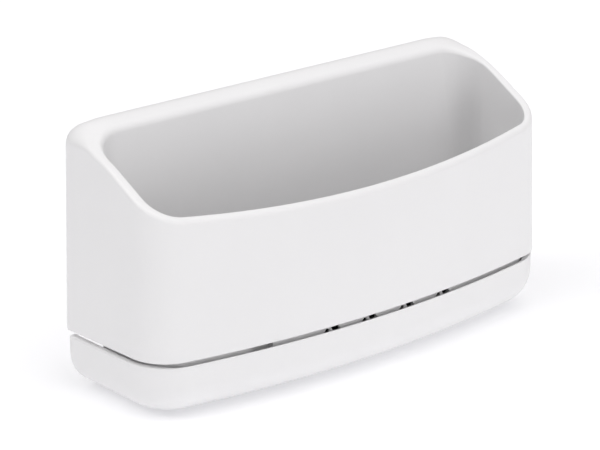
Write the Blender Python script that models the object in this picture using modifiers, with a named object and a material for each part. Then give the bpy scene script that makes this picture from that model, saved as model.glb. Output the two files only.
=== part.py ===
"""Sink caddy: a one-pocket holder that nests in a drip tray on four rubber feet.

The holder is one moulding with a sloping rim, a deep pocket that is open at its
bottom, a hollow back and a foot ring that drops inside the tray.  A slotted
grate lies on the ledge at the bottom of the pocket.  Units are metres, +Z is up,
+X is to the right seen from the front, and the front faces -Y.
"""

import math

import bmesh
import bpy

MM = 0.001

# Holder, outside.
HALF = 69.93 * MM
BACK_Y = 23.52 * MM           # flat back face
FRONT_Y = -23.52 * MM         # middle of the bowed front
FRONT_RADIUS = 323.4 * MM     # bow of the front face, seen from above
FRONT_CORNER = 10.8 * MM
BACK_CORNER = 4.7 * MM
TAPER = 0.0218                # each side comes in by this much per unit from the back to the front
SKIRT_Z = 16.75 * MM          # lower edge of the holder
SKIRT_EDGE = 0.15 * MM
DRAFT = math.tan(math.radians(1.36))   # the walls lean in towards the top

# Rim: one straight slope down from the back to the front.
RIM_BACK_Z = 76.00 * MM       # height of the slope over the flat back face
RIM_SLOPE = 0.5438
RIM_DROP = 2.34 * MM          # the back falls away towards its two ends
RIM_DROP_LONG = 31.2 * MM
RIM_DROP_SOFT = 1.5 * MM
RIM_DROP_Y0, RIM_DROP_Y1 = 0.83 * MM, 19.83 * MM
RIM_OUT_BACK, RIM_OUT_FRONT = 7.4 * MM, 1.0 * MM    # rounding of the outer edge
RIM_OUT_Y = 12.66 * MM                              # it grows from here to the back
RIM_OUT_SOFT = 2.5 * MM
RIM_IN_BACK, RIM_IN_FRONT = 1.5 * MM, 0.65 * MM     # rounding of the inner edge

# Pocket: outline at the rim, and narrower at its bottom.
POCKET_HALF = 66.0 * MM
POCKET_BACK = 14.34 * MM
POCKET_FRONT = -20.69 * MM
POCKET_FRONT_CORNER = 7.7 * MM
POCKET_BACK_CORNER = 9.4 * MM
WELL_HALF = 65.2 * MM
WELL_BACK = 8.53 * MM
WELL_FRONT = -18.5 * MM
WELL_FRONT_CORNER = 9.0 * MM
WELL_BACK_CORNER = 3.0 * MM
LEDGE_Z = 12.6 * MM           # the grate rests here
LEDGE_WIDTH = 2.0 * MM
LEDGE_THICK = 1.8 * MM

# Foot ring: the part of the holder that drops inside the tray.
RING_HALF = 67.4 * MM
RING_BACK = 10.73 * MM
RING_FRONT = -21.07 * MM
RING_FRONT_CORNER = 11.2 * MM
RING_BACK_CORNER = 3.4 * MM
RING_Z = 9.0 * MM
RING_EDGE = 0.4 * MM

# Hollow back of the holder, open at the bottom.
CORE_HALF = 66.2 * MM
CORE_FRONT_LOW, CORE_FRONT_HIGH = 11.63 * MM, 16.3 * MM
CORE_BACK = 21.17 * MM
CORE_CORNER = 2.6 * MM
CORE_TOP_Z = 67.6 * MM

# Drain windows in the front of the foot ring: a leaning pair, and one wide recess beside them.
WINDOW_X = [-13.7 * MM, -0.8 * MM, 12.8 * MM, 26.8 * MM]
WINDOW_LOW = [(-3.4, 14.0), (-2.9, 13.6), (-1.3, 13.6), (-1.3, 15.2), (-2.3, 15.35)]
WINDOW_HIGH = [(-0.75, 15.45), (0.3, 13.8), (2.6, 14.2), (1.7, 15.55)]
WINDOW_THIN_HALF = 3.7 * MM   # the ring is thinned behind each pair
WINDOW_THIN_Z0, WINDOW_THIN_Z1 = 12.75 * MM, 16.2 * MM
WINDOW_WALL = 0.6 * MM
RECESS_X0, RECESS_X1 = -39.5 * MM, -33.2 * MM
RECESS_Z0, RECESS_Z1 = 12.8 * MM, 16.3 * MM
RECESS_DEEP = 2.0 * MM

# Grate.
GRATE_GAP = 0.4 * MM
GRATE_Z0, GRATE_Z1 = 12.9 * MM, 18.6 * MM
GRATE_WALL = 1.5 * MM
GRATE_PLATE = 2.0 * MM
GRATE_EDGE = 0.8 * MM
GRATE_SLOTS = 13
GRATE_PITCH = 9.2 * MM
GRATE_SLOT = 3.4 * MM
GRATE_SLOT_Y0, GRATE_SLOT_Y1 = -11.57 * MM, 5.33 * MM

# Tray.
TRAY_HALF = 70.0 * MM
TRAY_RADIUS = 318.0 * MM      # bow of its front face
TRAY_CORNER = 13.8 * MM
TRAY_Z0 = 0.7 * MM            # underside, carried by the feet
TRAY_Z1 = 15.45 * MM          # rim
TRAY_FILLET = 10.4 * MM        # big rounding between the wall and the underside
TRAY_WALL = 2.1 * MM
TRAY_FLOOR = 2.1 * MM
TRAY_RIM_SIDE, TRAY_RIM_INSIDE = 0.5 * MM, 0.4 * MM   # rounding of the rim's two edges at the sides
TRAY_RIM_FRONT = 0.25 * MM    # and at the front, where the rim slopes inwards
TRAY_RIM_SLOPE = 0.55
TRAY_BACK = 19.63 * MM        # the tray ends before the back of the holder
TRAY_BACK_CORNER = 0.9 * MM
TRAY_INNER_CORNER = 0.5 * MM
TRAY_LIP_Z = 5.5 * MM         # low lip at the back, where the tray is poured out
RIB_Z = 8.7 * MM              # the foot ring stands on ribs of this height
RIB_THICK = 1.8 * MM

# Feet.
FOOT_X = 40.0 * MM
FOOT_Y0, FOOT_Y1 = -4.47 * MM, 12.03 * MM
FOOT_RADIUS = 4.0 * MM
FOOT_HIGH = 1.4 * MM
FOOT_SOCKET = 1.0 * MM
FOOT_CLEAR = 0.3 * MM


def clear_scene():
    for obj in list(bpy.data.objects):
        bpy.data.objects.remove(obj, do_unlink=True)


def new_collection(name):
    found = bpy.data.collections.new(name)
    bpy.context.scene.collection.children.link(found)
    return found


def material(name, colour, roughness):
    mat = bpy.data.materials.new(name)
    mat.use_nodes = True
    shader = mat.node_tree.nodes["Principled BSDF"]
    shader.inputs["Base Color"].default_value = (*colour, 1.0)
    shader.inputs["Roughness"].default_value = roughness
    shader.inputs["Metallic"].default_value = 0.0
    mat.diffuse_color = (*colour, 1.0)
    return mat


def outline(half, back, front, bow, front_corner, back_corner, turns, end=None,
            side_steps=4, corner_steps=7, front_steps=18):
    """Points and outward normals of a caddy outline, counter-clockwise from above.

    The back is straight, the front is an arc of radius bow, and the four corners
    are arcs.  turns holds the angles, from 0 at the side to pi/2 at the back, of
    the points of a back corner; end, when given, holds those points themselves.
    It starts at the left end of the straight back.
    """
    centre_y = front + bow
    run = half - front_corner
    corner_y = centre_y - math.sqrt((bow - front_corner) ** 2 - run ** 2)
    turn = -math.atan2(corner_y - centre_y, run)
    if end is None:
        end = []
        for a in turns:
            n = (math.cos(a), math.sin(a))
            end.append(((half - back_corner + back_corner * n[0], back - back_corner + back_corner * n[1]), n))
    side_top = end[0][0][1]
    found = [((-p[0], p[1]), (-n[0], n[1])) for p, n in reversed(end)]

    def arc(cx, cy, radius, start, stop, steps, first):
        for i in range(first, steps + 1):
            a = start + (stop - start) * i / steps
            n = (math.cos(a), math.sin(a))
            found.append(((cx + radius * n[0], cy + radius * n[1]), n))

    def side(x, y0, y1, nx):
        for i in range(1, side_steps):
            found.append(((x, y0 + (y1 - y0) * i / side_steps), (nx, 0.0)))

    side(-half, side_top, corner_y, -1.0)
    arc(-run, corner_y, front_corner, math.pi, math.pi + turn, corner_steps, 0)
    arc(0.0, centre_y, bow, math.pi + turn, 2 * math.pi - turn, front_steps, 1)
    arc(run, corner_y, front_corner, 2 * math.pi - turn, 2 * math.pi, corner_steps, 1)
    side(half, corner_y, side_top, 1.0)
    return found + end


def even_turns(steps):
    return [math.pi / 2 * k / steps for k in range(steps + 1)]


def holder_back_corner():
    """The columns of a back corner: the angle at the pocket's corner, the holder's own point straight out from it
    with its normal, and the way in from there.

    The rim's rounding is larger than the holder's corner in plan, so it runs in towards the centre of the
    pocket's corner, by as much as keeps it even along the side and along the back.
    """
    cx, cy = POCKET_HALF - POCKET_BACK_CORNER, POCKET_BACK - POCKET_BACK_CORNER
    ox, oy = HALF - BACK_CORNER, BACK_Y - BACK_CORNER
    over = []
    for a in even_turns(4):
        n = (math.cos(a), math.sin(a))
        p = (ox + BACK_CORNER * n[0], oy + BACK_CORNER * n[1])
        over.append((math.atan2(p[1] - cy, p[0] - cx), p, n))
    first, last = over[0][0], over[-1][0]
    side_reach, back_reach = 1 / math.cos(first), 1 / math.sin(last)
    columns = []
    for k in range(4):
        a = first * k / 4
        columns.append((a, (HALF, cy + (HALF - cx) * math.tan(a)), (1.0, 0.0), 1 / math.cos(a)))
    for k, (a, p, n) in enumerate(over):
        columns.append((a, p, n, side_reach + (back_reach - side_reach) * k / 4))
    for k in range(1, 5):
        a = last + (math.pi / 2 - last) * k / 4
        columns.append((a, (cx + (BACK_Y - cy) / math.tan(a), BACK_Y), (0.0, 1.0), 1 / math.sin(a)))
    return [(a, p, n, (math.cos(a) * reach, math.sin(a) * reach)) for a, p, n, reach in columns]


def inset(points, distance):
    """The outline moved inwards; distance is a number or a list with one for each point."""
    if not isinstance(distance, (list, tuple)):
        distance = [distance] * len(points)
    return [(p[0] - n[0] * d, p[1] - n[1] * d) for (p, n), d in zip(points, distance)]


def smooth(t):
    t = min(max(t, 0.0), 1.0)
    return t * t * (3 - 2 * t)


def taper(x, y):
    """The holder is a little narrower at its front than at its back."""
    return x * (1 - TAPER * (BACK_Y - y) / HALF)


def tapered(points):
    return [(taper(x, y), y) for x, y in points]


def rim_z(x, y):
    """Height of the rim surface over this point."""
    start = HALF - 1.2 * MM - RIM_DROP_LONG
    level = POCKET_HALF - POCKET_BACK_CORNER      # the back is level as far as its corners
    over = max(abs(x) - level, 0.0)
    e = (level - start + math.sqrt(over ** 2 + RIM_DROP_SOFT ** 2) - RIM_DROP_SOFT) / RIM_DROP_LONG
    return RIM_BACK_Z - RIM_SLOPE * (BACK_Y - y) - RIM_DROP * e * e * smooth((y - RIM_DROP_Y0) / (RIM_DROP_Y1 - RIM_DROP_Y0))


def outer_rounding(y):
    """Radius of the rim's outer edge: small along the front and most of the sides, large at the back."""

    def grown(d):
        return d + math.sqrt(d ** 2 + RIM_OUT_SOFT ** 2)
    return RIM_OUT_FRONT + (RIM_OUT_BACK - RIM_OUT_FRONT) * grown(y - RIM_OUT_Y) / grown(BACK_Y - RIM_OUT_Y)


def inner_rounding(ny):
    return RIM_IN_FRONT + (RIM_IN_BACK - RIM_IN_FRONT) * smooth(ny)


def ring_mesh(name, rings, closed):
    """A mesh through rings of equal length. closed joins the last ring to the first; otherwise both ends are capped."""
    bm = bmesh.new()
    rows = [[bm.verts.new(p) for p in ring] for ring in rings]
    count = len(rows[0])
    last = len(rows) if closed else len(rows) - 1
    for i in range(last):
        low, high = rows[i], rows[(i + 1) % len(rows)]
        for j in range(count):
            k = (j + 1) % count
            bm.faces.new((low[j], low[k], high[k], high[j]))
    if not closed:
        bm.faces.new(list(reversed(rows[0])))
        bm.faces.new(rows[-1])
    bm.normal_update()
    mesh = bpy.data.meshes.new(name)
    bm.to_mesh(mesh)
    bm.free()
    return mesh


def add_object(name, mesh, collection, mat=None, smooth=35.0):
    obj = bpy.data.objects.new(name, mesh)
    collection.objects.link(obj)
    if mat is not None:
        mesh.materials.append(mat)
    if smooth:
        mesh.shade_smooth()
        mesh.set_sharp_from_angle(angle=math.radians(smooth))
    return obj


def add_cutter(name, mesh, collection):
    obj = bpy.data.objects.new(name, mesh)
    collection.objects.link(obj)
    obj.hide_render = True
    obj.display_type = "WIRE"
    return obj


def prism(name, corners, axis, start, end):
    """A straight prism over a closed polygon: the corners are the two coordinates other than the axis, in order."""
    bm = bmesh.new()
    if axis == "X":
        verts = [bm.verts.new((start, y, z)) for y, z in corners]
        move = (end - start, 0.0, 0.0)
    elif axis == "Y":
        verts = [bm.verts.new((x, start, z)) for x, z in corners]
        move = (0.0, end - start, 0.0)
    else:
        verts = [bm.verts.new((x, y, start)) for x, y in corners]
        move = (0.0, 0.0, end - start)
    face = bm.faces.new(verts)
    made = bmesh.ops.extrude_face_region(bm, geom=[face])
    top = [v for v in made["geom"] if isinstance(v, bmesh.types.BMVert)]
    bmesh.ops.translate(bm, verts=top, vec=move)
    bmesh.ops.recalc_face_normals(bm, faces=bm.faces)
    mesh = bpy.data.meshes.new(name)
    bm.to_mesh(mesh)
    bm.free()
    return mesh


def box_mesh(name, low, high):
    bm = bmesh.new()
    bmesh.ops.create_cube(bm, size=1.0)
    size = [b - a for a, b in zip(low, high)]
    middle = [(a + b) / 2 for a, b in zip(low, high)]
    bmesh.ops.scale(bm, vec=size, verts=bm.verts)
    bmesh.ops.translate(bm, vec=middle, verts=bm.verts)
    mesh = bpy.data.meshes.new(name)
    bm.to_mesh(mesh)
    bm.free()
    return mesh


def boolean(obj, name, operation, collection):
    mod = obj.modifiers.new(name, "BOOLEAN")
    mod.operation = operation
    mod.operand_type = "COLLECTION"
    mod.collection = collection
    mod.solver = "EXACT"
    return mod


def child_collection(parent, name):
    found = bpy.data.collections.new(name)
    parent.children.link(found)
    return found


def holder_rings():
    """Rings of the holder, from its lower edge up the outside, over the rim, down the pocket and round the foot ring."""
    columns = holder_back_corner()
    turns = [column[0] for column in columns]
    outer = outline(HALF, BACK_Y, FRONT_Y, FRONT_RADIUS, FRONT_CORNER, BACK_CORNER, turns,
                    [(p, n) for _, p, n, _ in columns])
    pocket = outline(POCKET_HALF, POCKET_BACK, POCKET_FRONT, FRONT_RADIUS - 3.8 * MM,
                     POCKET_FRONT_CORNER, POCKET_BACK_CORNER, turns)
    well = outline(WELL_HALF, WELL_BACK, WELL_FRONT, FRONT_RADIUS - 4.7 * MM,
                   WELL_FRONT_CORNER, WELL_BACK_CORNER, turns)
    foot = outline(RING_HALF, RING_BACK, RING_FRONT, FRONT_RADIUS - 2.6 * MM,
                   RING_FRONT_CORNER, RING_BACK_CORNER, turns)
    ways = [way for _, _, _, way in columns]
    ways = ([(-x, y) for x, y in reversed(ways)] + [n for _, n in outer[len(ways):len(outer) - len(ways)]] + ways)
    rings = []

    def flat(points, distance, z):
        rings.append([(x, y, z) for x, y in tapered(inset(points, distance))])

    # Lower edge of the skirt.
    flat(outer, SKIRT_EDGE, SKIRT_Z)
    flat(outer, SKIRT_EDGE * 0.29, SKIRT_Z + SKIRT_EDGE * 0.29)
    flat(outer, 0.0, SKIRT_Z + SKIRT_EDGE)

    # Outer edge of the rim.
    steps = 6
    for k in range(steps + 1):
        a = math.pi / 2 * k / steps
        row = []
        for (p, n), way in zip(outer, ways):
            # The sides and the front lean in towards the top; the back is upright.
            radius = outer_rounding(p[1])
            lean = DRAFT * (rim_z(p[0], p[1]) - SKIRT_Z)
            d = radius * (1 - math.cos(a))
            x, y = p[0] - way[0] * d, p[1] - way[1] * d
            x = taper(x, y) * (1 - lean / HALF)
            y += lean * max(-n[1], 0.0)
            row.append((x, y, rim_z(x, y) - radius * (1 - math.sin(a))))
        rings.append(row)

    # The rim's own face, then its inner edge.
    start = rings[-1]
    for t in (0.33, 0.67):
        row = []
        for (x, y, _), (p, n) in zip(start, pocket):
            r = inner_rounding(n[1])
            px, py = p[0] + n[0] * r, p[1] + n[1] * r
            x, y = x + (taper(px, py) - x) * t, y + (py - y) * t
            row.append((x, y, rim_z(x, y)))
        rings.append(row)
    steps = 4
    for k in range(steps + 1):
        a = math.pi / 2 * k / steps
        row = []
        for p, n in pocket:
            radius = inner_rounding(n[1])
            d = radius * (1 - math.sin(a))
            x, y = p[0] + n[0] * d, p[1] + n[1] * d
            x = taper(x, y)
            row.append((x, y, rim_z(x, y) - radius * (1 - math.cos(a))))
        rings.append(row)

    # Bottom of the pocket, the ledge and the foot ring.
    flat(well, 0.0, LEDGE_Z + 0.5 * MM)
    flat(well, 0.15 * MM, LEDGE_Z + 0.15 * MM)
    flat(well, 0.5 * MM, LEDGE_Z)
    flat(well, LEDGE_WIDTH - 0.3 * MM, LEDGE_Z)
    flat(well, LEDGE_WIDTH, LEDGE_Z - 0.3 * MM)
    flat(well, LEDGE_WIDTH, LEDGE_Z - LEDGE_THICK)
    flat(well, 0.0, LEDGE_Z - LEDGE_THICK)
    flat(well, 0.0, RING_Z)
    flat(foot, RING_EDGE, RING_Z)
    flat(foot, 0.0, RING_Z + RING_EDGE)
    flat(foot, 0.0, SKIRT_Z)
    return rings


def ring_strip(x0, x1, depth, y_end):
    """(x, y) corners of a strip with one edge this deep in the foot ring, following its bow, and the other at y_end."""
    bow = FRONT_RADIUS - 2.6 * MM
    corners = [(x1, y_end), (x0, y_end)]
    for k in range(5):
        x = x0 + (x1 - x0) * k / 4
        corners.append((x, RING_FRONT + depth + bow - math.sqrt(bow ** 2 - x ** 2)))
    return corners


def make_holder(parts, cutters, mat):
    obj = add_object("holder", ring_mesh("holder", holder_rings(), True), parts, mat)

    cuts = child_collection(cutters, "holder_cuts")
    # Hollow back.
    bm = bmesh.new()
    front_low, front_high = CORE_FRONT_LOW, CORE_FRONT_HIGH
    low_z = SKIRT_Z - 3 * MM
    slope = (front_high - front_low) / (CORE_TOP_Z - SKIRT_Z)
    rows = []
    for z in (low_z, CORE_TOP_Z - 1.2 * MM, CORE_TOP_Z):
        tuck = 1.2 * MM if z == CORE_TOP_Z else 0.0
        front = front_low + slope * (z - SKIRT_Z)
        shape = [(CORE_HALF - tuck, front + tuck)]
        for k in range(6):
            a = math.pi / 2 * k / 5
            r = CORE_CORNER - tuck
            shape.append((CORE_HALF - CORE_CORNER + r * math.cos(a), CORE_BACK - CORE_CORNER + r * math.sin(a)))
        shape += [(-x, y) for x, y in reversed(shape)]
        rows.append([bm.verts.new((x, y, z)) for x, y in tapered(shape)])
    count = len(rows[0])
    for low, high in zip(rows, rows[1:]):
        for j in range(count):
            k = (j + 1) % count
            bm.faces.new((low[j], low[k], high[k], high[j]))
    bm.faces.new(list(reversed(rows[0])))
    bm.faces.new(rows[-1])
    bm.normal_update()
    core = bpy.data.meshes.new("back_core")
    bm.to_mesh(core)
    bm.free()
    add_cutter("back_core", core, cuts)

    # Drain windows, the thin wall round each of them, and the recess beside them.
    y0, y1 = FRONT_Y + 1.0 * MM, WELL_FRONT + 4.0 * MM
    for i, x in enumerate(WINDOW_X):
        for part, shape in (("low", WINDOW_LOW), ("high", WINDOW_HIGH)):
            add_cutter(f"window_{i + 1}_{part}", prism("window", [
                (x + u * MM, v * MM) for u, v in shape], "Y", y0, y1), cuts)
        add_cutter(f"window_{i + 1}_thin", prism("thin", ring_strip(
            x - WINDOW_THIN_HALF, x + WINDOW_THIN_HALF, WINDOW_WALL, y1), "Z", WINDOW_THIN_Z0, WINDOW_THIN_Z1), cuts)
    add_cutter("recess", prism("recess", ring_strip(
        RECESS_X0, RECESS_X1, RECESS_DEEP, FRONT_Y + 0.6 * MM), "Z", RECESS_Z0, RECESS_Z1), cuts)
    boolean(obj, "cuts", "DIFFERENCE", cuts)
    return obj


def make_grate(parts, cutters, mat):
    edge = outline(WELL_HALF - GRATE_GAP, WELL_BACK - GRATE_GAP, WELL_FRONT + GRATE_GAP,
                   FRONT_RADIUS - 5.1 * MM, WELL_FRONT_CORNER - GRATE_GAP, WELL_BACK_CORNER - GRATE_GAP,
                   even_turns(4), side_steps=1, corner_steps=6, front_steps=14)
    rings = []

    def flat(distance, z):
        rings.append([(x, y, z) for x, y in tapered(inset(edge, distance))])

    flat(GRATE_WALL, GRATE_Z1 - GRATE_PLATE)
    flat(GRATE_WALL, GRATE_Z0)
    flat(0.3 * MM, GRATE_Z0)
    flat(0.0, GRATE_Z0 + 0.3 * MM)
    for k in range(4):
        a = math.pi / 2 * k / 3
        flat(GRATE_EDGE * (1 - math.cos(a)), GRATE_Z1 - GRATE_EDGE * (1 - math.sin(a)))
    obj = add_object("drain_grate", ring_mesh("drain_grate", rings, False), parts, mat)

    cuts = child_collection(cutters, "grate_cuts")
    r = GRATE_SLOT / 2
    for i in range(GRATE_SLOTS):
        x = (i - (GRATE_SLOTS - 1) / 2) * GRATE_PITCH
        corners = []
        for k in range(7):
            a = math.pi * k / 6
            corners.append((x + r * math.cos(a), GRATE_SLOT_Y1 - r + r * math.sin(a)))
        for k in range(7):
            a = math.pi + math.pi * k / 6
            corners.append((x + r * math.cos(a), GRATE_SLOT_Y0 + r + r * math.sin(a)))
        add_cutter(f"slot_{i + 1:02d}", prism("slot", corners, "Z", GRATE_Z0, GRATE_Z1 + 2 * MM), cuts)
    boolean(obj, "slots", "DIFFERENCE", cuts)
    return obj


def tray_rings():
    """Rings of the tray, from its underside up the outside, over the rim and down to its floor.

    The front and the two sides share one big lower rounding; the back is upright.
    """
    rings = []

    def edge(side, back, corner):
        return outline(TRAY_HALF - side, back, FRONT_Y + side, TRAY_RADIUS - side,
                       TRAY_CORNER - side, corner, even_turns(3), side_steps=1)

    def ring(side, back, z, corner):
        rings.append([(p[0], p[1], z) for p, _ in edge(side, back, corner)])

    def rim_rings(steps):
        """The rim: flat on the two sides, and sloping inwards at the front."""
        outside, inside = edge(0.0, TRAY_BACK, TRAY_BACK_CORNER), edge(TRAY_WALL, TRAY_BACK - TRAY_WALL, TRAY_INNER_CORNER)
        for inner in (False, True):
            for k in range(steps + 1):
                a = math.pi / 2 * k / steps
                row = []
                for (p, n), (q, _) in zip(outside, inside):
                    w = smooth((max(abs(n[0]), n[1]) - 0.3) / 0.6)
                    r_out = TRAY_RIM_FRONT + (TRAY_RIM_SIDE - TRAY_RIM_FRONT) * w
                    r_in = TRAY_RIM_FRONT + (TRAY_RIM_INSIDE - TRAY_RIM_FRONT) * w
                    if inner:
                        d = TRAY_WALL - r_in * (1 - math.sin(a))
                        z = TRAY_Z1 - TRAY_RIM_SLOPE * (1 - w) * (TRAY_WALL - r_in - r_out) - r_in * (1 - math.cos(a))
                    else:
                        d = r_out * (1 - math.cos(a))
                        z = TRAY_Z1 - r_out * (1 - math.sin(a))
                    t = d / TRAY_WALL
                    row.append((p[0] + (q[0] - p[0]) * t, p[1] + (q[1] - p[1]) * t, z))
                rings.append(row)

    z0 = TRAY_Z0
    under = 0.8 * MM      # rounding of the lower edge at the back
    steps = 7
    for k in range(steps + 1):
        a = math.pi / 2 * k / steps
        z = z0 + TRAY_FILLET * (1 - math.cos(a))
        below = max(0.0, under - (z - z0))
        tuck = under - math.sqrt(under ** 2 - below ** 2)
        ring(TRAY_FILLET * (1 - math.sin(a)), TRAY_BACK - tuck, z, TRAY_BACK_CORNER)
    rim_rings(4)
    inner = TRAY_FILLET - TRAY_WALL
    floor = z0 + TRAY_FLOOR
    steps = 6
    for k in range(steps + 1):
        a = math.pi / 2 * k / steps
        t = k / steps
        ring(TRAY_WALL + inner * (1 - math.cos(a)), TRAY_BACK - TRAY_WALL - 0.9 * MM * t ** 4,
             floor + inner * (1 - math.sin(a)), TRAY_INNER_CORNER)
    return rings


def lip_notch():
    """(x, z) corners of the opening over the low lip: it follows the inside of the tray's end section."""
    inner = TRAY_FILLET - TRAY_WALL
    top = TRAY_Z0 + TRAY_FILLET
    corners = [(TRAY_HALF - TRAY_WALL + 0.15 * MM, TRAY_Z1 + 5 * MM)]
    for k in range(5):
        z = top + (TRAY_LIP_Z - top) * k / 4
        corners.append((TRAY_HALF - TRAY_FILLET + math.sqrt(inner ** 2 - (top - z) ** 2) + 0.15 * MM, z))
    return corners + [(-x, z) for x, z in reversed(corners)]


def rib_profile(tall):
    """(inset from the outer face, height) corners of a rib that grows out of the middle of the tray's wall."""
    middle = TRAY_FILLET - TRAY_WALL / 2
    corners = [(TRAY_WALL * 0.6, tall), (TRAY_WALL * 0.6, TRAY_Z0 + TRAY_FILLET - middle * 0.35)]
    for degrees in (28, 40, 52, 64):
        a = math.radians(degrees)
        corners.append((TRAY_FILLET - middle * math.cos(a), TRAY_Z0 + TRAY_FILLET - middle * math.sin(a)))
    return corners + [(corners[-1][0] + 0.3 * MM, tall)]


def make_tray(parts, cutters, mat):
    obj = add_object("drip_tray", ring_mesh("drip_tray", tray_rings(), False), parts, mat)

    ribs = child_collection(cutters, "tray_ribs")
    t = RIB_THICK / 2
    shape = rib_profile(RIB_Z)
    for i, x in enumerate((-40 * MM, 0.0, 40 * MM)):
        y = FRONT_Y + TRAY_RADIUS - math.sqrt(TRAY_RADIUS ** 2 - x ** 2)
        add_cutter(f"rib_front_{i + 1}", prism("rib", [(y + d, z) for d, z in shape], "X", x - t, x + t), ribs)
    for i, side in enumerate((-1, 1)):
        add_cutter(f"rib_side_{i + 1}", prism("rib", [(side * (TRAY_HALF - d), z) for d, z in shape], "Y", -t, t), ribs)
    low = TRAY_Z0 + TRAY_FLOOR / 2
    for i, x in enumerate((-40 * MM, 40 * MM)):
        add_cutter(f"rib_back_{i + 1}", box_mesh("rib", (x - t, RING_BACK - 4.2 * MM, low),
                                                 (x + t, RING_BACK - 0.6 * MM, RIB_Z)), ribs)
    boolean(obj, "ribs", "UNION", ribs)

    sockets = child_collection(cutters, "tray_cuts")
    add_cutter("lip_notch", prism("lip_notch", lip_notch(), "Y", TRAY_BACK - TRAY_WALL - 1.5 * MM, TRAY_BACK + 5 * MM), sockets)
    for i, (x, y) in enumerate(foot_places()):
        bm = bmesh.new()
        bmesh.ops.create_cone(bm, cap_ends=True, segments=28, radius1=FOOT_RADIUS + FOOT_CLEAR,
                              radius2=FOOT_RADIUS + FOOT_CLEAR, depth=2 * MM)
        bmesh.ops.translate(bm, verts=bm.verts, vec=(x, y, TRAY_Z0 + FOOT_SOCKET - 1 * MM))
        mesh = bpy.data.meshes.new("socket")
        bm.to_mesh(mesh)
        bm.free()
        add_cutter(f"socket_{i + 1}", mesh, sockets)
    boolean(obj, "cuts", "DIFFERENCE", sockets)
    return obj


def foot_places():
    return [(-FOOT_X, FOOT_Y0), (FOOT_X, FOOT_Y0), (-FOOT_X, FOOT_Y1), (FOOT_X, FOOT_Y1)]


def make_feet(parts, mat):
    """Round rubber pads, turned from one profile, one in each socket."""
    names = ("foot_front_left", "foot_front_right", "foot_back_left", "foot_back_right")
    bm = bmesh.new()
    r, e = FOOT_RADIUS, 0.35 * MM
    profile = [(0.0, FOOT_HIGH), (r - e, FOOT_HIGH), (r, FOOT_HIGH - e), (r, e), (r - 0.3 * e, 0.3 * e), (r - e, 0.0), (0.0, 0.0)]
    verts = [bm.verts.new((x, 0.0, z)) for x, z in profile]
    for a, b in zip(verts, verts[1:]):
        bm.edges.new((a, b))
    mesh = bpy.data.meshes.new("foot")
    bm.to_mesh(mesh)
    bm.free()
    mesh.materials.append(mat)
    for name, (x, y) in zip(names, foot_places()):
        obj = bpy.data.objects.new(name, mesh)
        parts.objects.link(obj)
        obj.location = (x, y, 0.0)
        screw = obj.modifiers.new("turn", "SCREW")
        screw.axis = "Z"
        screw.angle = 2 * math.pi
        screw.steps = 28
        screw.render_steps = 28
        screw.use_merge_vertices = True
        screw.merge_threshold = 0.00001
        screw.use_smooth_shade = True


def main():
    clear_scene()
    parts = new_collection("sink_caddy")
    cutters = new_collection("cutters")
    white = material("white_plastic", (0.86, 0.86, 0.86), 0.38)
    tray_white = material("white_plastic_tray", (0.86, 0.86, 0.86), 0.38)
    dark = material("black_plastic", (0.025, 0.025, 0.027), 0.45)
    rubber = material("grey_rubber", (0.12, 0.12, 0.125), 0.8)
    make_tray(parts, cutters, tray_white)
    make_holder(parts, cutters, white)
    make_grate(parts, cutters, dark)
    make_feet(parts, rubber)
    cutters.hide_render = True


main()
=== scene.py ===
import math

import bmesh
import bpy
from mathutils import Matrix, Vector


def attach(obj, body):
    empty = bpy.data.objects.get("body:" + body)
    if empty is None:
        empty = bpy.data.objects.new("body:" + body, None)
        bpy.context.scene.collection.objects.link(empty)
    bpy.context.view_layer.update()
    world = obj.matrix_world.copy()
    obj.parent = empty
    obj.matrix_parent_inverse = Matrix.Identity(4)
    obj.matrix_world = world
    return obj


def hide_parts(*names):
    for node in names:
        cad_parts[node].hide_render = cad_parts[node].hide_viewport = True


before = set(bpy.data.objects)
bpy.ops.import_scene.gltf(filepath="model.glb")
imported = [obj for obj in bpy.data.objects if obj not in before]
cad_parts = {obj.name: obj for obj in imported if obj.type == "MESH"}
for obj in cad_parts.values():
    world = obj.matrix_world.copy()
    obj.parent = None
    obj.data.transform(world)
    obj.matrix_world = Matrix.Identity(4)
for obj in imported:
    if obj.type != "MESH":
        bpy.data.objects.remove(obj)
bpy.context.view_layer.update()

MM = 0.001

# ---------------------------------------------------------------------------
# Sizes, the same as the frame's.
# ---------------------------------------------------------------------------
HALF = 69.93 * MM
BACK_Y, FRONT_Y = 23.52 * MM, -23.52 * MM
FRONT_RADIUS = 323.4 * MM
FRONT_CORNER = 10.8 * MM
BACK_CORNER = 4.7 * MM
TAPER = 0.0218
SKIRT_Z = 16.75 * MM
SKIRT_EDGE = 0.15 * MM
DRAFT = math.tan(math.radians(1.36))

RIM_BACK_Z = 76.00 * MM
RIM_SLOPE = 0.5438
RIM_DROP = 2.34 * MM
RIM_DROP_LONG = 31.2 * MM
RIM_DROP_SOFT = 1.5 * MM
RIM_DROP_Y0, RIM_DROP_Y1 = 0.83 * MM, 19.83 * MM
RIM_OUT_BACK, RIM_OUT_FRONT = 7.4 * MM, 1.0 * MM
RIM_OUT_Y, RIM_OUT_SOFT = 12.66 * MM, 2.5 * MM
RIM_IN_BACK, RIM_IN_FRONT = 1.5 * MM, 0.65 * MM

POCKET_HALF = 66.0 * MM
POCKET_BACK, POCKET_FRONT = 14.34 * MM, -20.69 * MM
POCKET_FRONT_CORNER, POCKET_BACK_CORNER = 7.7 * MM, 9.4 * MM
WELL_HALF = 65.2 * MM
WELL_BACK, WELL_FRONT = 8.53 * MM, -18.5 * MM
WELL_FRONT_CORNER, WELL_BACK_CORNER = 9.0 * MM, 3.0 * MM
LEDGE_Z, LEDGE_WIDTH, LEDGE_THICK = 12.6 * MM, 2.0 * MM, 1.8 * MM

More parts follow.
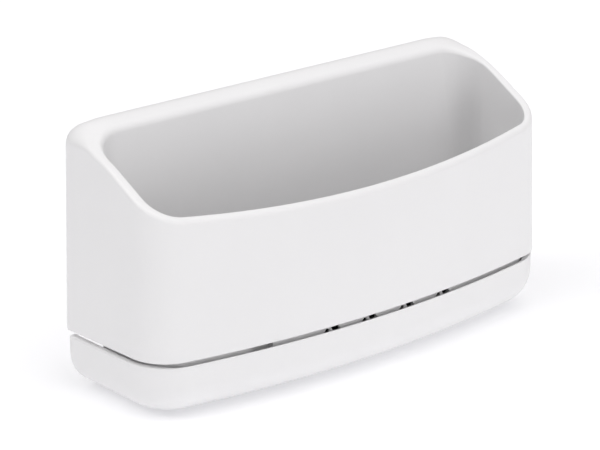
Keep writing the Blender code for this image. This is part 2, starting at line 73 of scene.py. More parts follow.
RING_HALF = 67.4 * MM
RING_BACK, RING_FRONT = 10.73 * MM, -21.07 * MM
RING_FRONT_CORNER, RING_BACK_CORNER = 11.2 * MM, 3.4 * MM
RING_Z, RING_EDGE = 9.0 * MM, 0.4 * MM

CORE_HALF = 66.2 * MM
CORE_FRONT_LOW, CORE_FRONT_HIGH = 11.63 * MM, 16.3 * MM
CORE_BACK, CORE_CORNER, CORE_TOP_Z = 21.17 * MM, 2.6 * MM, 67.6 * MM

WINDOW_X = [-13.7 * MM, -0.8 * MM, 12.8 * MM, 26.8 * MM]
WINDOW_LOW = [(-3.4, 14.0), (-2.9, 13.6), (-1.3, 13.6), (-1.3, 15.2), (-2.3, 15.35)]
WINDOW_HIGH = [(-0.75, 15.45), (0.3, 13.8), (2.6, 14.2), (1.7, 15.55)]
WINDOW_THIN_HALF, WINDOW_WALL = 3.7 * MM, 0.6 * MM
WINDOW_THIN_Z0, WINDOW_THIN_Z1 = 12.75 * MM, 16.2 * MM
RECESS_X0, RECESS_X1 = -39.5 * MM, -33.2 * MM
RECESS_Z0, RECESS_Z1 = 12.8 * MM, 16.3 * MM
RECESS_DEEP = 2.0 * MM

GRATE_GAP, GRATE_Z0, GRATE_Z1 = 0.4 * MM, 12.9 * MM, 18.6 * MM
GRATE_WALL, GRATE_PLATE, GRATE_EDGE = 1.5 * MM, 2.0 * MM, 0.8 * MM
GRATE_SLOTS, GRATE_PITCH, GRATE_SLOT = 13, 9.2 * MM, 3.4 * MM
GRATE_SLOT_Y0, GRATE_SLOT_Y1 = -11.57 * MM, 5.33 * MM

TRAY_HALF, TRAY_RADIUS, TRAY_CORNER = 70.0 * MM, 318.0 * MM, 13.8 * MM
TRAY_Z0, TRAY_Z1 = 0.7 * MM, 15.45 * MM
TRAY_FILLET, TRAY_WALL, TRAY_FLOOR = 10.4 * MM, 2.1 * MM, 2.1 * MM
TRAY_RIM_SIDE, TRAY_RIM_INSIDE = 0.5 * MM, 0.4 * MM
TRAY_RIM_FRONT, TRAY_RIM_SLOPE = 0.25 * MM, 0.55
TRAY_BACK, TRAY_BACK_CORNER, TRAY_INNER_CORNER = 19.63 * MM, 0.9 * MM, 0.5 * MM
TRAY_LIP_Z, RIB_Z, RIB_THICK = 5.5 * MM, 8.7 * MM, 1.8 * MM
FOOT_X, FOOT_Y0, FOOT_Y1 = 40.0 * MM, -4.47 * MM, 12.03 * MM
FOOT_RADIUS, FOOT_SOCKET, FOOT_CLEAR = 4.0 * MM, 1.0 * MM, 0.3 * MM


# ---------------------------------------------------------------------------
# Outlines and lofts.
# ---------------------------------------------------------------------------
BACK_STEPS = 24


def even_turns(steps):
    return [math.pi / 2 * k / steps for k in range(steps + 1)]


def outline(half, back, front, bow, front_corner, back_corner, turns, end=None,
            side_steps=12, corner_steps=18, front_steps=84, back_steps=BACK_STEPS):
    """Points and outward normals, counter-clockwise from above, from the left end of the straight back."""
    centre_y = front + bow
    run = half - front_corner
    corner_y = centre_y - math.sqrt((bow - front_corner) ** 2 - run ** 2)
    turn = -math.atan2(corner_y - centre_y, run)
    if end is None:
        end = []
        for a in turns:
            n = (math.cos(a), math.sin(a))
            end.append(((half - back_corner + back_corner * n[0], back - back_corner + back_corner * n[1]), n))
    side_top = end[0][0][1]
    found = [((-p[0], p[1]), (-n[0], n[1])) for p, n in reversed(end)]

    def arc(cx, cy, radius, start, stop, steps, first):
        for i in range(first, steps + 1):
            a = start + (stop - start) * i / steps
            n = (math.cos(a), math.sin(a))
            found.append(((cx + radius * n[0], cy + radius * n[1]), n))

    def side(x, y0, y1, nx):
        for i in range(1, side_steps):
            found.append(((x, y0 + (y1 - y0) * i / side_steps), (nx, 0.0)))

    side(-half, side_top, corner_y, -1.0)
    arc(-run, corner_y, front_corner, math.pi, math.pi + turn, corner_steps, 0)
    arc(0.0, centre_y, bow, math.pi + turn, 2 * math.pi - turn, front_steps, 1)
    arc(run, corner_y, front_corner, 2 * math.pi - turn, 2 * math.pi, corner_steps, 1)
    side(half, corner_y, side_top, 1.0)
    found += end
    right = end[-1][0][0]
    for i in range(1, back_steps):
        found.append(((right - 2 * right * i / back_steps, back), (0.0, 1.0)))
    return found


def holder_back_corner():
    """The columns of a back corner: the angle at the pocket's corner, the holder's own point straight out from it
    with its normal, and the way in from there."""
    cx, cy = POCKET_HALF - POCKET_BACK_CORNER, POCKET_BACK - POCKET_BACK_CORNER
    ox, oy = HALF - BACK_CORNER, BACK_Y - BACK_CORNER
    over = []
    for a in even_turns(16):
        n = (math.cos(a), math.sin(a))
        p = (ox + BACK_CORNER * n[0], oy + BACK_CORNER * n[1])
        over.append((math.atan2(p[1] - cy, p[0] - cx), p, n))
    first, last = over[0][0], over[-1][0]
    side_reach, back_reach = 1 / math.cos(first), 1 / math.sin(last)
    columns = []
    for k in range(16):
        a = first * k / 16
        columns.append((a, (HALF, cy + (HALF - cx) * math.tan(a)), (1.0, 0.0), 1 / math.cos(a)))
    for k, (a, p, n) in enumerate(over):
        columns.append((a, p, n, side_reach + (back_reach - side_reach) * k / 16))
    for k in range(1, 17):
        a = last + (math.pi / 2 - last) * k / 16
        columns.append((a, (cx + (BACK_Y - cy) / math.tan(a), BACK_Y), (0.0, 1.0), 1 / math.sin(a)))
    return [(a, p, n, (math.cos(a) * reach, math.sin(a) * reach)) for a, p, n, reach in columns]


def inset(points, distance):
    return [(p[0] - n[0] * distance, p[1] - n[1] * distance) for p, n in points]


def smooth(t):
    t = min(max(t, 0.0), 1.0)
    return t * t * (3 - 2 * t)


def taper(x, y):
    """The holder is a little narrower at its front than at its back."""
    return x * (1 - TAPER * (BACK_Y - y) / HALF)


def tapered(points):
    return [(taper(x, y), y) for x, y in points]


def rim_z(x, y):
    """Height of the rim surface over this point."""
    start = HALF - 1.2 * MM - RIM_DROP_LONG
    level = POCKET_HALF - POCKET_BACK_CORNER      # the back is level as far as its corners
    over = max(abs(x) - level, 0.0)
    e = (level - start + math.sqrt(over ** 2 + RIM_DROP_SOFT ** 2) - RIM_DROP_SOFT) / RIM_DROP_LONG
    return RIM_BACK_Z - RIM_SLOPE * (BACK_Y - y) - RIM_DROP * e * e * smooth((y - RIM_DROP_Y0) / (RIM_DROP_Y1 - RIM_DROP_Y0))


def outer_rounding(y):
    """Radius of the rim's outer edge: small along the front and most of the sides, large at the back."""

    def grown(d):
        return d + math.sqrt(d ** 2 + RIM_OUT_SOFT ** 2)
    return RIM_OUT_FRONT + (RIM_OUT_BACK - RIM_OUT_FRONT) * grown(y - RIM_OUT_Y) / grown(BACK_Y - RIM_OUT_Y)


def inner_rounding(ny):
    return RIM_IN_FRONT + (RIM_IN_BACK - RIM_IN_FRONT) * smooth(ny)


def spread(rings, steps):
    """steps - 1 more rings evenly between each pair of rings whose distance calls for them: steps(i) says how many."""
    found = []
    for i, ring in enumerate(rings):
        found.append(ring)
        if i + 1 < len(rings):
            count = steps.get(i, 1)
            for k in range(1, count):
                t = k / count
                found.append([tuple(a + (b - a) * t for a, b in zip(p, q)) for p, q in zip(ring, rings[i + 1])])
    return found


def loft(name, rings, closed):
    """A mesh through rings of equal length. closed joins the last ring to the first; otherwise both ends are capped."""
    bm = bmesh.new()
    rows = [[bm.verts.new(p) for p in ring] for ring in rings]
    count = len(rows[0])
    last = len(rows) if closed else len(rows) - 1
    for i in range(last):
        low, high = rows[i], rows[(i + 1) % len(rows)]
        for j in range(count):
            k = (j + 1) % count
            bm.faces.new((low[j], low[k], high[k], high[j]))
    if not closed:
        bm.faces.new(list(reversed(rows[0])))
        bm.faces.new(rows[-1])
    bm.normal_update()
    mesh = bpy.data.meshes.new(name)
    bm.to_mesh(mesh)
    bm.free()
    return mesh


def prism(name, corners, axis, start, end):
    """A straight prism over a closed polygon: the corners are the two coordinates other than the axis, in order."""
    bm = bmesh.new()
    if axis == "X":
        verts = [bm.verts.new((start, y, z)) for y, z in corners]
        move = (end - start, 0.0, 0.0)
    elif axis == "Y":
        verts = [bm.verts.new((x, start, z)) for x, z in corners]
        move = (0.0, end - start, 0.0)
    else:
        verts = [bm.verts.new((x, y, start)) for x, y in corners]
        move = (0.0, 0.0, end - start)
    face = bm.faces.new(verts)
    made = bmesh.ops.extrude_face_region(bm, geom=[face])
    top = [v for v in made["geom"] if isinstance(v, bmesh.types.BMVert)]
    bmesh.ops.translate(bm, verts=top, vec=move)
    bmesh.ops.recalc_face_normals(bm, faces=bm.faces)
    mesh = bpy.data.meshes.new(name)
    bm.to_mesh(mesh)
    bm.free()
    return mesh


def block(name, low, high):
    x0, y0, z0 = low
    x1, y1, z1 = high
    return prism(name, [(x0, y0), (x1, y0), (x1, y1), (x0, y1)], "Z", z0, z1)


def cut_and_join(name, mesh, steps, sharp=32.0, bevel=None):
    """A new object from the mesh after its boolean steps, each ("DIFFERENCE" or "UNION", [cutter meshes])."""
    obj = bpy.data.objects.new(name, mesh)
    bpy.context.scene.collection.objects.link(obj)
    helpers = []
    for i, (operation, cutters) in enumerate(steps):
        group = bpy.data.collections.new(f"{name}_{operation.lower()}_{i}")
        bpy.context.scene.collection.children.link(group)
        for cutter in cutters:
            helper = bpy.data.objects.new(cutter.name, cutter)
            group.objects.link(helper)
            helpers.append(helper)
        mod = obj.modifiers.new(f"step_{i}", "BOOLEAN")
        mod.operation = operation
        mod.operand_type = "COLLECTION"
        mod.collection = group
        mod.solver = "EXACT"
        helpers.append(group)
    if bevel:
        mod = obj.modifiers.new("edges", "BEVEL")
        mod.width = bevel
        mod.segments = 3
        mod.limit_method = "ANGLE"
        mod.angle_limit = math.radians(50)
        mod.use_clamp_overlap = True
    bpy.context.view_layer.update()
    made = bpy.data.meshes.new_from_object(obj.evaluated_get(bpy.context.evaluated_depsgraph_get()))
    obj.modifiers.clear()
    obj.data = made
    made.name = name
    for helper in helpers:
        if isinstance(helper, bpy.types.Object):
            bpy.data.objects.remove(helper)
        else:
            bpy.data.collections.remove(helper)
    made.shade_smooth()
    made.set_sharp_from_angle(angle=math.radians(sharp))
    return obj


# ---------------------------------------------------------------------------
# Holder.
# ---------------------------------------------------------------------------
def holder_rings():
    columns = holder_back_corner()
    turns = [column[0] for column in columns]
    outer = outline(HALF, BACK_Y, FRONT_Y, FRONT_RADIUS, FRONT_CORNER, BACK_CORNER, turns,
                    [(p, n) for _, p, n, _ in columns])
    pocket = outline(POCKET_HALF, POCKET_BACK, POCKET_FRONT, FRONT_RADIUS - 3.8 * MM,
                     POCKET_FRONT_CORNER, POCKET_BACK_CORNER, turns)
    well = outline(WELL_HALF, WELL_BACK, WELL_FRONT, FRONT_RADIUS - 4.7 * MM,
                   WELL_FRONT_CORNER, WELL_BACK_CORNER, turns)
    foot = outline(RING_HALF, RING_BACK, RING_FRONT, FRONT_RADIUS - 2.6 * MM,
                   RING_FRONT_CORNER, RING_BACK_CORNER, turns)
    ways = [n for _, n in outer]
    for k, (_, _, _, way) in enumerate(columns):
        ways[len(columns) - 1 - k] = (-way[0], way[1])
        ways[len(outer) - BACK_STEPS + 1 - len(columns) + k] = way
    rings = []
    more = {}

    def flat(points, distance, z):
        rings.append([(taper(x, y), y, z) for x, y in inset(points, distance)])

    # Rounded lower edge of the skirt.
    for k in range(6):
        a = math.pi / 2 * k / 5
        flat(outer, SKIRT_EDGE * (1 - math.sin(a)), SKIRT_Z + SKIRT_EDGE * (1 - math.cos(a)))
    more[len(rings) - 1] = 14

    # Outer edge of the rim.
    steps = 18
    for k in range(steps + 1):
        a = math.pi / 2 * k / steps
        row = []
        for (p, n), way in zip(outer, ways):
            radius = outer_rounding(p[1])
            lean = DRAFT * (rim_z(p[0], p[1]) - SKIRT_Z)
            d = radius * (1 - math.cos(a))
            x, y = p[0] - way[0] * d, p[1] - way[1] * d
            x = taper(x, y) * (1 - lean / HALF)
            y += lean * max(-n[1], 0.0)
            row.append((x, y, rim_z(x, y) - radius * (1 - math.sin(a))))
        rings.append(row)

    # The rim's own face, then its inner edge.
    start = rings[-1]
    for t in (0.2, 0.4, 0.6, 0.8):
        row = []
        for (x, y, _), (p, n) in zip(start, pocket):
            r = inner_rounding(n[1])
            px, py = p[0] + n[0] * r, p[1] + n[1] * r
            x, y = x + (taper(px, py) - x) * t, y + (py - y) * t
            row.append((x, y, rim_z(x, y)))
        rings.append(row)
    steps = 9
    for k in range(steps + 1):
        a = math.pi / 2 * k / steps
        row = []
        for p, n in pocket:
            radius = inner_rounding(n[1])
            d = radius * (1 - math.sin(a))
            x, y = p[0] + n[0] * d, p[1] + n[1] * d
            x = taper(x, y)
            row.append((x, y, rim_z(x, y) - radius * (1 - math.cos(a))))
        rings.append(row)
    more[len(rings) - 1] = 16

    # Bottom of the pocket, the ledge and the foot ring.
    for k in range(4):
        a = math.pi / 2 * k / 3
        flat(well, 0.5 * MM * (1 - math.cos(a)), LEDGE_Z + 0.5 * MM * (1 - math.sin(a)))
    flat(well, LEDGE_WIDTH - 0.3 * MM, LEDGE_Z)
    flat(well, LEDGE_WIDTH - 0.09 * MM, LEDGE_Z - 0.09 * MM)
    flat(well, LEDGE_WIDTH, LEDGE_Z - 0.3 * MM)
    flat(well, LEDGE_WIDTH, LEDGE_Z - LEDGE_THICK)
    flat(well, 0.0, LEDGE_Z - LEDGE_THICK)
    flat(well, 0.0, RING_Z)
    for k in range(4):
        a = math.pi / 2 * k / 3
        flat(foot, RING_EDGE * (1 - math.sin(a)), RING_Z + RING_EDGE * (1 - math.cos(a)))
    flat(foot, 0.0, SKIRT_Z)
    return spread(rings, more)


def core_mesh():
    rows = []
    bm = bmesh.new()
    slope = (CORE_FRONT_HIGH - CORE_FRONT_LOW) / (CORE_TOP_Z - SKIRT_Z)
    for z, tuck in ((SKIRT_Z - 3 * MM, 0.0), (CORE_TOP_Z - 1.2 * MM, 0.0), (CORE_TOP_Z - 0.35 * MM, 0.35 * MM), (CORE_TOP_Z, 1.2 * MM)):
        front = CORE_FRONT_LOW + slope * (z - SKIRT_Z)
        shape = [(CORE_HALF - tuck, front + tuck)]
        for k in range(11):
            a = math.pi / 2 * k / 10
            r = CORE_CORNER - tuck
            shape.append((CORE_HALF - CORE_CORNER + r * math.cos(a), CORE_BACK - CORE_CORNER + r * math.sin(a)))
        shape += [(-x, y) for x, y in reversed(shape)]
        rows.append([bm.verts.new((taper(x, y), y, z)) for x, y in shape])
    count = len(rows[0])
    for low, high in zip(rows, rows[1:]):
        for j in range(count):
            k = (j + 1) % count
            bm.faces.new((low[j], low[k], high[k], high[j]))
    bm.faces.new(list(reversed(rows[0])))
    bm.faces.new(rows[-1])
    mesh = bpy.data.meshes.new("back_core")
    bm.to_mesh(mesh)
    bm.free()
    return mesh


def ring_strip(x0, x1, depth, y_end):
    """(x, y) corners of a strip with one edge this deep in the foot ring, following its bow, and the other at y_end."""
    bow = FRONT_RADIUS - 2.6 * MM
    corners = [(x1, y_end), (x0, y_end)]
    for k in range(13):
        x = x0 + (x1 - x0) * k / 12
        corners.append((x, RING_FRONT + depth + bow - math.sqrt(bow ** 2 - x ** 2)))
    return corners


def window_meshes():
    y0, y1 = FRONT_Y + 1.0 * MM, WELL_FRONT + 4.0 * MM
    found = []
    for x in WINDOW_X:
        for shape in (WINDOW_LOW, WINDOW_HIGH):
            found.append(prism("window", [(x + u * MM, v * MM) for u, v in shape], "Y", y0, y1))
        found.append(prism("thin", ring_strip(x - WINDOW_THIN_HALF, x + WINDOW_THIN_HALF, WINDOW_WALL, y1),
                           "Z", WINDOW_THIN_Z0, WINDOW_THIN_Z1))
    found.append(prism("recess", ring_strip(RECESS_X0, RECESS_X1, RECESS_DEEP, FRONT_Y + 0.6 * MM),
                       "Z", RECESS_Z0, RECESS_Z1))
    return found


# ---------------------------------------------------------------------------
# Tray.
# ---------------------------------------------------------------------------
def tray_rings():
    rings = []
    more = {}

    def edge(side, back, corner):
        return outline(TRAY_HALF - side, back, FRONT_Y + side, TRAY_RADIUS - side,
                       TRAY_CORNER - side, corner, even_turns(5), side_steps=10, back_steps=8)

    def ring(side, back, z, corner):
        rings.append([(p[0], p[1], z) for p, _ in edge(side, back, corner)])

    def rim_rings(steps):
        """The rim: flat on the two sides, and sloping inwards at the front."""
        outside, inside = edge(0.0, TRAY_BACK, TRAY_BACK_CORNER), edge(TRAY_WALL, TRAY_BACK - TRAY_WALL, TRAY_INNER_CORNER)
        for inner in (False, True):
            for k in range(steps + 1):
                a = math.pi / 2 * k / steps
                row = []
                for (p, n), (q, _) in zip(outside, inside):
                    w = smooth((max(abs(n[0]), n[1]) - 0.3) / 0.6)
                    r_out = TRAY_RIM_FRONT + (TRAY_RIM_SIDE - TRAY_RIM_FRONT) * w
                    r_in = TRAY_RIM_FRONT + (TRAY_RIM_INSIDE - TRAY_RIM_FRONT) * w
                    if inner:
                        d = TRAY_WALL - r_in * (1 - math.sin(a))
                        z = TRAY_Z1 - TRAY_RIM_SLOPE * (1 - w) * (TRAY_WALL - r_in - r_out) - r_in * (1 - math.cos(a))
                    else:
                        d = r_out * (1 - math.cos(a))
                        z = TRAY_Z1 - r_out * (1 - math.sin(a))
                    t = d / TRAY_WALL
                    row.append((p[0] + (q[0] - p[0]) * t, p[1] + (q[1] - p[1]) * t, z))
                rings.append(row)

    z0 = TRAY_Z0
    under = 0.8 * MM
    steps = 20
    for k in range(steps + 1):
        a = math.pi / 2 * k / steps
        z = z0 + TRAY_FILLET * (1 - math.cos(a))
        below = max(0.0, under - (z - z0))
        tuck = under - math.sqrt(under ** 2 - below ** 2)
        ring(TRAY_FILLET * (1 - math.sin(a)), TRAY_BACK - tuck, z, TRAY_BACK_CORNER)
    more[len(rings) - 1] = 3
    rim_rings(8)
    more[len(rings) - 1] = 3
    inner = TRAY_FILLET - TRAY_WALL
    floor = z0 + TRAY_FLOOR
    steps = 16
    for k in range(steps + 1):
        a = math.pi / 2 * k / steps
        ring(TRAY_WALL + inner * (1 - math.cos(a)), TRAY_BACK - TRAY_WALL - 0.9 * MM * (k / steps) ** 4,
             floor + inner * (1 - math.sin(a)), TRAY_INNER_CORNER)
    return spread(rings, more)


def lip_notch():
    inner = TRAY_FILLET - TRAY_WALL
    top = TRAY_Z0 + TRAY_FILLET
    corners = [(TRAY_HALF - TRAY_WALL + 0.15 * MM, TRAY_Z1 + 5 * MM)]
    for k in range(11):
        z = top + (TRAY_LIP_Z - top) * k / 10
        corners.append((TRAY_HALF - TRAY_FILLET + math.sqrt(inner ** 2 - (top - z) ** 2) + 0.15 * MM, z))
    return corners + [(-x, z) for x, z in reversed(corners)]


def rib_profile(tall):
    middle = TRAY_FILLET - TRAY_WALL / 2
    corners = [(TRAY_WALL * 0.6, tall), (TRAY_WALL * 0.6, TRAY_Z0 + TRAY_FILLET - middle * 0.35)]
    for degrees in (28, 40, 52, 64):
        a = math.radians(degrees)
        corners.append((TRAY_FILLET - middle * math.cos(a), TRAY_Z0 + TRAY_FILLET - middle * math.sin(a)))
    return corners + [(corners[-1][0] + 0.3 * MM, tall)]


def tray_rib_meshes():
    t = RIB_THICK / 2
    shape = rib_profile(RIB_Z)
    found = []
    for x in (-40 * MM, 0.0, 40 * MM):
        y = FRONT_Y + TRAY_RADIUS - math.sqrt(TRAY_RADIUS ** 2 - x ** 2)
        found.append(prism("rib", [(y + d, z) for d, z in shape], "X", x - t, x + t))
    for side in (-1, 1):
        found.append(prism("rib", [(side * (TRAY_HALF - d), z) for d, z in shape], "Y", -t, t))
    low = TRAY_Z0 + TRAY_FLOOR / 2
    for x in (-40 * MM, 40 * MM):
        found.append(block("rib", (x - t, RING_BACK - 4.2 * MM, low), (x + t, RING_BACK - 0.6 * MM, RIB_Z)))
    return found


def tray_cut_meshes():
    found = [prism("lip_notch", lip_notch(), "Y", TRAY_BACK - TRAY_WALL - 1.5 * MM, TRAY_BACK + 5 * MM)]
    for x in (-FOOT_X, FOOT_X):
        for y in (FOOT_Y0, FOOT_Y1):
            r = FOOT_RADIUS + FOOT_CLEAR
            circle = [(x + r * math.cos(2 * math.pi * k / 48), y + r * math.sin(2 * math.pi * k / 48)) for k in range(48)]
            found.append(prism("socket", circle, "Z", TRAY_Z0 - 1 * MM, TRAY_Z0 + FOOT_SOCKET))
    return found


# ---------------------------------------------------------------------------
# Grate.
# ---------------------------------------------------------------------------
def grate_rings():
    edge = outline(WELL_HALF - GRATE_GAP, WELL_BACK - GRATE_GAP, WELL_FRONT + GRATE_GAP,
                   FRONT_RADIUS - 5.1 * MM, WELL_FRONT_CORNER - GRATE_GAP, WELL_BACK_CORNER - GRATE_GAP,
                   even_turns(10), side_steps=4, corner_steps=16, front_steps=60, back_steps=4)
    rings = []

    def flat(distance, z):
        rings.append([(taper(x, y), y, z) for x, y in inset(edge, distance)])

    flat(GRATE_WALL, GRATE_Z1 - GRATE_PLATE)
    flat(GRATE_WALL, GRATE_Z0)
    flat(0.3 * MM, GRATE_Z0)
    flat(0.09 * MM, GRATE_Z0 + 0.09 * MM)
    flat(0.0, GRATE_Z0 + 0.3 * MM)
    for k in range(8):
        a = math.pi / 2 * k / 7
        flat(GRATE_EDGE * (1 - math.cos(a)), GRATE_Z1 - GRATE_EDGE * (1 - math.sin(a)))
    return rings


def grate_slot_meshes():
    found = []
    r = GRATE_SLOT / 2
    for i in range(GRATE_SLOTS):
        x = (i - (GRATE_SLOTS - 1) / 2) * GRATE_PITCH
        corners = []
        for k in range(13):
            a = math.pi * k / 12
            corners.append((x + r * math.cos(a), GRATE_SLOT_Y1 - r + r * math.sin(a)))
        for k in range(13):
            a = math.pi + math.pi * k / 12
            corners.append((x + r * math.cos(a), GRATE_SLOT_Y0 + r + r * math.sin(a)))
        found.append(prism("slot", corners, "Z", GRATE_Z0, GRATE_Z1 + 2 * MM))
    return found


# ---------------------------------------------------------------------------
# Materials.
# ---------------------------------------------------------------------------
class Nodes:
    """A short way to write a material's node tree."""

    def __init__(self, name):
        self.mat = bpy.data.materials.new(name)
        self.mat.use_nodes = True
        self.tree = self.mat.node_tree
        self.shader = self.tree.nodes["Principled BSDF"]
        self.place = self.add("ShaderNodeTexCoord").outputs["Object"]

    def add(self, kind, **values):
        node = self.tree.nodes.new(kind)
        for key, value in values.items():
            setattr(node, key, value)
        return node

    def link(self, a, b):
        self.tree.links.new(a, b)

    def noise(self, size, detail=2.0, rough=0.5, stretch=(1, 1, 1)):
        """Noise whose features are about this many metres wide."""
        mapping = self.add("ShaderNodeMapping")
        mapping.inputs["Scale"].default_value = [s / size for s in stretch]
        self.link(self.place, mapping.inputs["Vector"])
        node = self.add("ShaderNodeTexNoise")
        node.inputs["Scale"].default_value = 1.0
        node.inputs["Detail"].default_value = detail
        node.inputs["Roughness"].default_value = rough
        self.link(mapping.outputs["Vector"], node.inputs["Vector"])
        return node.outputs["Fac"]

    def spread(self, value, low, high, start=0.3, stop=0.7):
        node = self.add("ShaderNodeMapRange")
        node.inputs["From Min"].default_value = start
        node.inputs["From Max"].default_value = stop
        node.inputs["To Min"].default_value = low
        node.inputs["To Max"].default_value = high
        self.link(value, node.inputs["Value"])
        return node.outputs["Result"]

    def maths(self, how, a, b):
        node = self.add("ShaderNodeMath", operation=how)
        for slot, value in zip(node.inputs, (a, b)):
            if isinstance(value, (int, float)):
                slot.default_value = value
            else:
                self.link(value, slot)
        return node.outputs[0]

    def mix(self, factor, a, b):
        node = self.add("ShaderNodeMix", data_type="RGBA")
        self.link(factor, node.inputs["Factor"])
        node.inputs["A"].default_value = (*a, 1.0)
        node.inputs["B"].default_value = (*b, 1.0)
        return node.outputs["Result"]

    def bump(self, height, strength, distance):
        node = self.add("ShaderNodeBump")
        node.inputs["Strength"].default_value = strength
        node.inputs["Distance"].default_value = distance
        self.link(height, node.inputs["Height"])
        self.link(node.outputs["Normal"], self.shader.inputs["Normal"])


def moulded_plastic(name, light, dark, rough, grain=0.035):
    """Satin moulded plastic: a fine spark-eroded grain, faint flow clouding and a slowly changing gloss."""
    n = Nodes(name)
    cloud = n.noise(0.035, 3.0, 0.55, (1.0, 1.0, 0.55))
    speck = n.noise(0.0006, 2.0, 0.6)
    tone = n.maths("ADD", n.maths("MULTIPLY", cloud, 0.75), n.maths("MULTIPLY", speck, 0.25))
    n.link(n.mix(n.spread(tone, 0.0, 1.0, 0.35, 0.65), dark, light), n.shader.inputs["Base Color"])
    gloss = n.maths("ADD", n.maths("MULTIPLY", n.noise(0.02, 2.0), 0.6), n.maths("MULTIPLY", speck, 0.4))
    n.link(n.spread(gloss, rough - 0.035, rough + 0.035, 0.35, 0.65), n.shader.inputs["Roughness"])
    height = n.maths("ADD", n.noise(0.00045, 3.0, 0.6), n.maths("MULTIPLY", n.noise(0.012, 1.0), 1.5))
    n.bump(height, 0.35, grain * MM)
    n.shader.inputs["IOR"].default_value = 1.49
    n.shader.inputs["Metallic"].default_value = 0.0
    return n.mat


def rubber(name):
    n = Nodes(name)
    tone = n.noise(0.003, 4.0, 0.6)
    n.link(n.mix(n.spread(tone, 0.0, 1.0), (0.10, 0.10, 0.105), (0.135, 0.135, 0.14)), n.shader.inputs["Base Color"])
    n.link(n.spread(n.noise(0.001, 3.0), 0.72, 0.86), n.shader.inputs["Roughness"])
    n.bump(n.noise(0.0004, 3.0, 0.65), 0.5, 0.06 * MM)
    return n.mat


WHITE = moulded_plastic("white_plastic", (0.874, 0.870, 0.872), (0.858, 0.854, 0.857), 0.40)
TRAY_WHITE = moulded_plastic("white_plastic_tray", (0.874, 0.870, 0.872), (0.858, 0.854, 0.857), 0.40)
BLACK = moulded_plastic("black_plastic", (0.022, 0.022, 0.024), (0.016, 0.016, 0.018), 0.46, 0.05)
BLACK.node_tree.nodes["Principled BSDF"].inputs["Specular IOR Level"].default_value = 0.3
RUBBER = rubber("grey_rubber")


# ---------------------------------------------------------------------------
# The pieces.
# ---------------------------------------------------------------------------
holder = cut_and_join("holder_body", loft("holder_body", holder_rings(), True),
                      [("DIFFERENCE", [core_mesh()] + window_meshes())])
holder.data.materials.clear()
holder.data.materials.append(WHITE)
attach(holder, "holder")
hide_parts("holder")

tray = cut_and_join("drip_tray_body", loft("drip_tray_body", tray_rings(), False),
                    [("UNION", tray_rib_meshes()), ("DIFFERENCE", tray_cut_meshes())])
tray.data.materials.clear()
tray.data.materials.append(TRAY_WHITE)
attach(tray, "drip_tray")
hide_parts("drip_tray")

grate = cut_and_join("drain_grate_body", loft("drain_grate_body", grate_rings(), False),
                     [("DIFFERENCE", grate_slot_meshes())], bevel=0.25 * MM)
grate.data.materials.clear()
grate.data.materials.append(BLACK)
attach(grate, "drain_grate")
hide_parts("drain_grate")

for node in ("foot_front_left", "foot_front_right", "foot_back_left", "foot_back_right"):
    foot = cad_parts[node]
    foot.data.materials.clear()
    foot.data.materials.append(RUBBER)


# ---------------------------------------------------------------------------
# Floor, light and camera.
# ---------------------------------------------------------------------------
def make_floor():
    bm = bmesh.new()
    bmesh.ops.create_grid(bm, x_segments=12, y_segments=12, size=3.0)
    mesh = bpy.data.meshes.new("floor")
    bm.to_mesh(mesh)
    bm.free()
    floor = bpy.data.objects.new("floor", mesh)
    bpy.context.scene.collection.objects.link(floor)
    n = Nodes("floor_white")
    n.link(n.mix(n.spread(n.noise(0.05, 3.0), 0.0, 1.0), (0.78, 0.78, 0.785), (0.80, 0.80, 0.805)), n.shader.inputs["Base Color"])
    n.link(n.spread(n.noise(0.01, 2.0), 0.85, 0.95), n.shader.inputs["Roughness"])
    n.shader.inputs["Specular IOR Level"].default_value = 0.1
    n.shader.inputs["Emission Color"].default_value = (0.97, 0.97, 1.0, 1.0)
    n.shader.inputs["Emission Strength"].default_value = 0.300
    mesh.materials.append(n.mat)


# Soft lights round the room: where each stands (azimuth and elevation in degrees), how tight it is, and its strength.
LIGHTS = [
    (45.0, 19.1, 3.0, 0.300),
    (45.0, 50.0, 14.0, 0.500),
    (150.0, 50.0, 14.0, 0.770),
    (165.0, 45.0, 30.0, 1.673),
    (180.0, 50.0, 14.0, 1.434),
    (180.0, 70.0, 30.0, 0.353),
    (270.0, 3.0, 14.0, 2.140),
    (270.0, 50.0, 14.0, 1.060),
    (300.0, 3.0, 14.0, 0.480),
    (315.0, 50.0, 14.0, 1.170),
    (0.0, 90.0, 8.0, 1.604),
    (0.0, 90.0, 40.0, 0.303),
]


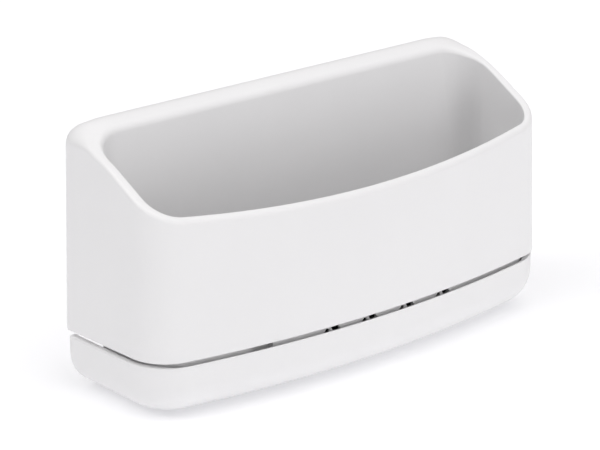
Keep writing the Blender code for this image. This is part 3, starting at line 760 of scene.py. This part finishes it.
def make_world():
    """A dark room with the soft lights above: each is brightest in its own direction and fades away from it."""
    world = bpy.data.worlds.new("studio")
    bpy.context.scene.world = world
    world.use_nodes = True
    tree = world.node_tree
    background = tree.nodes["Background"]
    place = tree.nodes.new("ShaderNodeTexCoord")
    unit = tree.nodes.new("ShaderNodeVectorMath")
    unit.operation = "NORMALIZE"
    tree.links.new(place.outputs["Generated"], unit.inputs[0])

    def maths(how, a, b):
        node = tree.nodes.new("ShaderNodeMath")
        node.operation = how
        for slot, value in zip(node.inputs, (a, b)):
            if isinstance(value, (int, float)):
                slot.default_value = value
            else:
                tree.links.new(value, slot)
        return node.outputs[0]

    total = None
    for azimuth, elevation, tight, strength in LIGHTS:
        a, e = math.radians(azimuth), math.radians(elevation)
        dot = tree.nodes.new("ShaderNodeVectorMath")
        dot.operation = "DOT_PRODUCT"
        tree.links.new(unit.outputs[0], dot.inputs[0])
        dot.inputs[1].default_value = (math.cos(a) * math.cos(e), math.sin(a) * math.cos(e), math.sin(e))
        lobe = maths("MULTIPLY", maths("POWER", maths("MAXIMUM", dot.outputs["Value"], 0.0), tight), strength)
        total = lobe if total is None else maths("ADD", total, lobe)
    background.inputs["Color"].default_value = (1.0, 0.992, 0.997, 1.0)
    tree.links.new(total, background.inputs["Strength"])


def make_camera():
    azimuth, elevation = math.radians(-40.60110715658066), math.radians(19.527114027999893)
    right = Vector((math.cos(azimuth), math.sin(azimuth), 0.0))
    back = Vector((math.sin(azimuth) * math.cos(elevation), -math.cos(azimuth) * math.cos(elevation), math.sin(elevation)))
    up = back.cross(right)
    data = bpy.data.cameras.new("camera")
    data.sensor_fit = "HORIZONTAL"
    data.sensor_width = 36.0
    data.lens = 168.45
    data.clip_start, data.clip_end = 0.05, 20.0
    obj = bpy.data.objects.new("camera", data)
    bpy.context.scene.collection.objects.link(obj)
    place = Vector((-466.239 * MM, -535.325 * MM, 286.715 * MM))
    turn = Matrix((right, up, back)).transposed().to_4x4()
    obj.matrix_world = Matrix.Translation(place) @ turn
    bpy.context.scene.camera = obj


make_floor()
make_world()
make_camera()
bpy.context.scene.view_settings.view_transform = "Standard"
bpy.context.scene.view_settings.look = "None"

bpy.context.view_layer.update()
